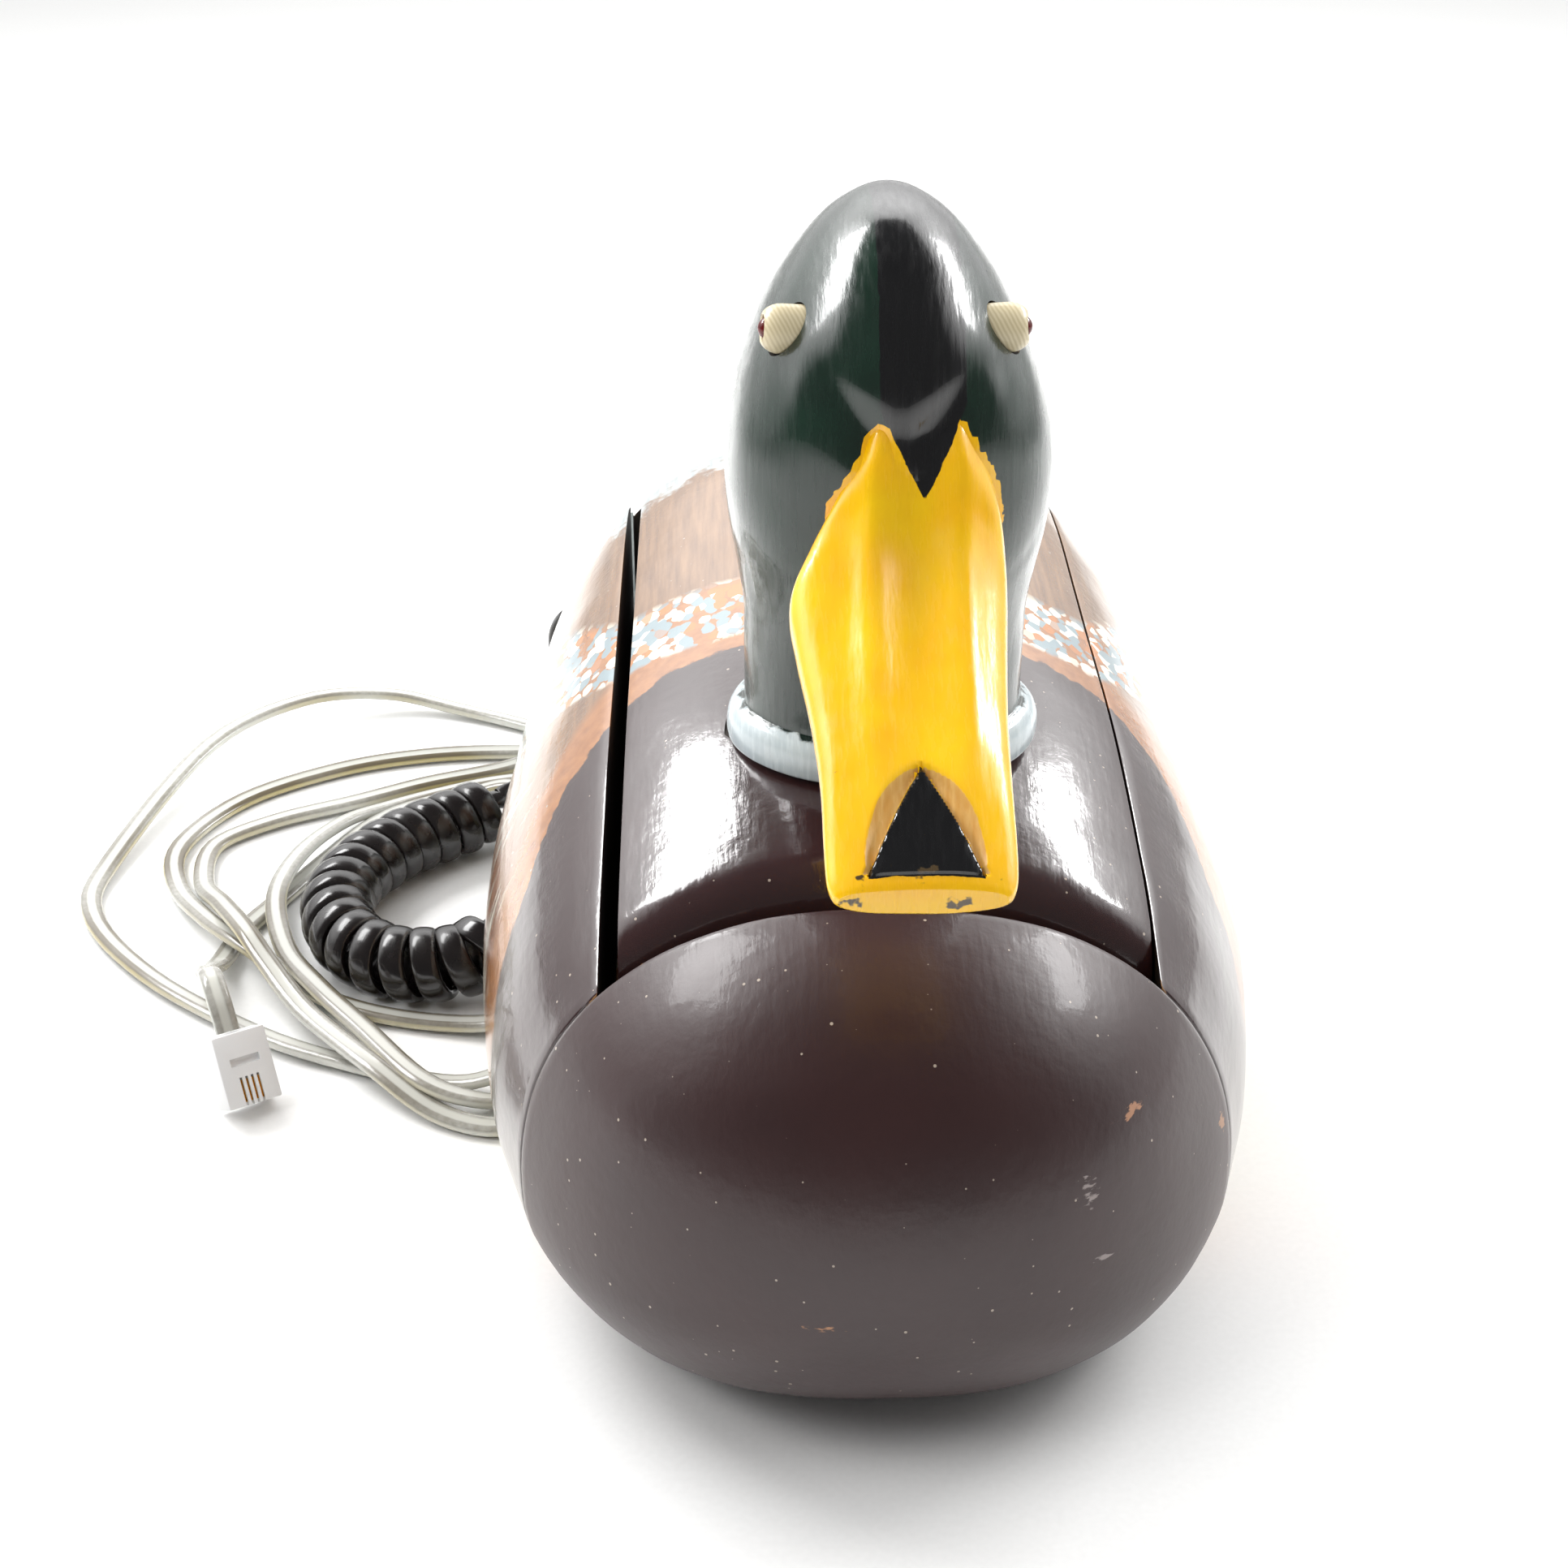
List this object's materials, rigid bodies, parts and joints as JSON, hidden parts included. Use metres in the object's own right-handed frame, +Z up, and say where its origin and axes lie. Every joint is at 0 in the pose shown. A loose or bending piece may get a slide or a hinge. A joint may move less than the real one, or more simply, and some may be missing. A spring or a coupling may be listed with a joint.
{
  "type": "novelty telephone",
  "caption": "Telephone carved and painted as a drake decoy; its back, neck and head lift off as the handset, with a curly handset cord and a loose flat line cord.",
  "frame": {"origin": "on the ground below the middle of the body", "axes": "+Z up, the bill points to -Y, +X is the viewer's right seen from the front"},
  "size_m": [0.2114, 0.2958, 0.162],
  "materials": {
    "breast_paint": "dark chestnut paint over carved wood, satin gloss",
    "body_paint": "grey, white and brown brushed paint over carved wood, gloss varnish",
    "head_paint": "dark green gloss enamel over carved wood, yellow bill and pale neck ring",
    "eye_bead_paint": "cream turned bead",
    "red_lamp": "red lamp lens",
    "lead_wire": "red insulated lead",
    "dowel_wood": "plain beech dowel",
    "black_plastic": "fine textured black moulding",
    "cream_plastic": "ivory moulding",
    "zinc_steel": "bright zinc plated steel",
    "foot_rubber": "black rubber",
    "keypad_rubber": "grey silicone rubber",
    "relief_rubber": "grey flexible strain relief",
    "circuit_board": "green solder mask",
    "clear_plastic": "clear flexible plastic with a faint green-yellow tint",
    "cord_vinyl": "glossy brown-black vinyl"
  },
  "bodies": {
    "base": {"breast_cap": "breast_paint", "body_hull": "body_paint", "tail_block": "body_paint", "base_plate": "black_plastic", "rubber_foot_1": "foot_rubber", "rubber_foot_2": "foot_rubber", "rubber_foot_3": "foot_rubber", "rubber_foot_4": "foot_rubber", "base_screw_1": "zinc_steel", "base_screw_2": "zinc_steel", "base_screw_3": "zinc_steel", "base_screw_4": "zinc_steel", "base_circuit_board": "circuit_board", "ringer_sounder": "black_plastic", "hook_switch_body": "black_plastic", "hook_spring": "zinc_steel", "cord_strain_relief": "relief_rubber", "base_cord_jack": "black_plastic", "base_end_plug": "clear_plastic", "line_cord": "clear_plastic", "line_plug": "clear_plastic", "handset_cord": "cord_vinyl", "handset_cord_base_end": "cord_vinyl", "handset_cord_handset_end": "cord_vinyl"},
    "handset": {"handset_body": "body_paint", "head": "head_paint", "head_dowel": "dowel_wood", "eye_bead_left": "eye_bead_paint", "eye_bead_right": "eye_bead_paint", "eye_lamp_left": "red_lamp", "eye_lamp_right": "red_lamp", "eye_lead_left": "lead_wire", "eye_lead_right": "lead_wire", "handset_faceplate": "black_plastic", "keypad_mat": "keypad_rubber", "handset_circuit_board": "circuit_board", "receiver_capsule": "black_plastic", "microphone_capsule": "zinc_steel", "faceplate_screw_1": "zinc_steel", "faceplate_screw_2": "zinc_steel", "handset_cord_jack": "black_plastic", "handset_end_plug": "clear_plastic"},
    "plunger": {"hook_plunger": "cream_plastic"},
    "ringer_switch": {"ringer_switch_knob": "cream_plastic"},
    "key_1": {"key_1": "cream_plastic"},
    "key_2": {"key_2": "cream_plastic"},
    "key_3": {"key_3": "cream_plastic"},
    "key_4": {"key_4": "cream_plastic"},
    "key_5": {"key_5": "cream_plastic"},
    "key_6": {"key_6": "cream_plastic"},
    "key_7": {"key_7": "cream_plastic"},
    "key_8": {"key_8": "cream_plastic"},
    "key_9": {"key_9": "cream_plastic"},
    "key_star": {"key_star": "cream_plastic"},
    "key_0": {"key_0": "cream_plastic"},
    "key_hash": {"key_hash": "cream_plastic"}
  },
  "joints": [
    {"name": "handset_lift", "type": "slide", "parent": "base", "child": "handset", "axis": [0, 0, 1], "range_m": [0, 0.14]},
    {"name": "hook_plunger_rise", "type": "slide", "parent": "base", "child": "plunger", "axis": [0, 0, 1], "range_m": [0, 0.0035]},
    {"name": "ringer_switch_slide", "type": "slide", "parent": "base", "child": "ringer_switch", "axis": [0, 1, 0], "range_m": [-0.0025, 0.0025]},
    {"name": "key_1_press", "type": "slide", "parent": "handset", "child": "key_1", "axis": [0, 0, 1], "range_m": [0, 0.0014], "stiffness_N_per_m": 250},
    {"name": "key_2_press", "type": "slide", "parent": "handset", "child": "key_2", "axis": [0, 0, 1], "range_m": [0, 0.0014], "stiffness_N_per_m": 250},
    {"name": "key_3_press", "type": "slide", "parent": "handset", "child": "key_3", "axis": [0, 0, 1], "range_m": [0, 0.0014], "stiffness_N_per_m": 250},
    {"name": "key_4_press", "type": "slide", "parent": "handset", "child": "key_4", "axis": [0, 0, 1], "range_m": [0, 0.0014], "stiffness_N_per_m": 250},
    {"name": "key_5_press", "type": "slide", "parent": "handset", "child": "key_5", "axis": [0, 0, 1], "range_m": [0, 0.0014], "stiffness_N_per_m": 250},
    {"name": "key_6_press", "type": "slide", "parent": "handset", "child": "key_6", "axis": [0, 0, 1], "range_m": [0, 0.0014], "stiffness_N_per_m": 250},
    {"name": "key_7_press", "type": "slide", "parent": "handset", "child": "key_7", "axis": [0, 0, 1], "range_m": [0, 0.0014], "stiffness_N_per_m": 250},
    {"name": "key_8_press", "type": "slide", "parent": "handset", "child": "key_8", "axis": [0, 0, 1], "range_m": [0, 0.0014], "stiffness_N_per_m": 250},
    {"name": "key_9_press", "type": "slide", "parent": "handset", "child": "key_9", "axis": [0, 0, 1], "range_m": [0, 0.0014], "stiffness_N_per_m": 250},
    {"name": "key_star_press", "type": "slide", "parent": "handset", "child": "key_star", "axis": [0, 0, 1], "range_m": [0, 0.0014], "stiffness_N_per_m": 250},
    {"name": "key_0_press", "type": "slide", "parent": "handset", "child": "key_0", "axis": [0, 0, 1], "range_m": [0, 0.0014], "stiffness_N_per_m": 250},
    {"name": "key_hash_press", "type": "slide", "parent": "handset", "child": "key_hash", "axis": [0, 0, 1], "range_m": [0, 0.0014], "stiffness_N_per_m": 250}
  ],
  "couplings": [
    {"joint": "hook_plunger_rise", "follows": "handset_lift", "ratio": 0.025}
  ]
}
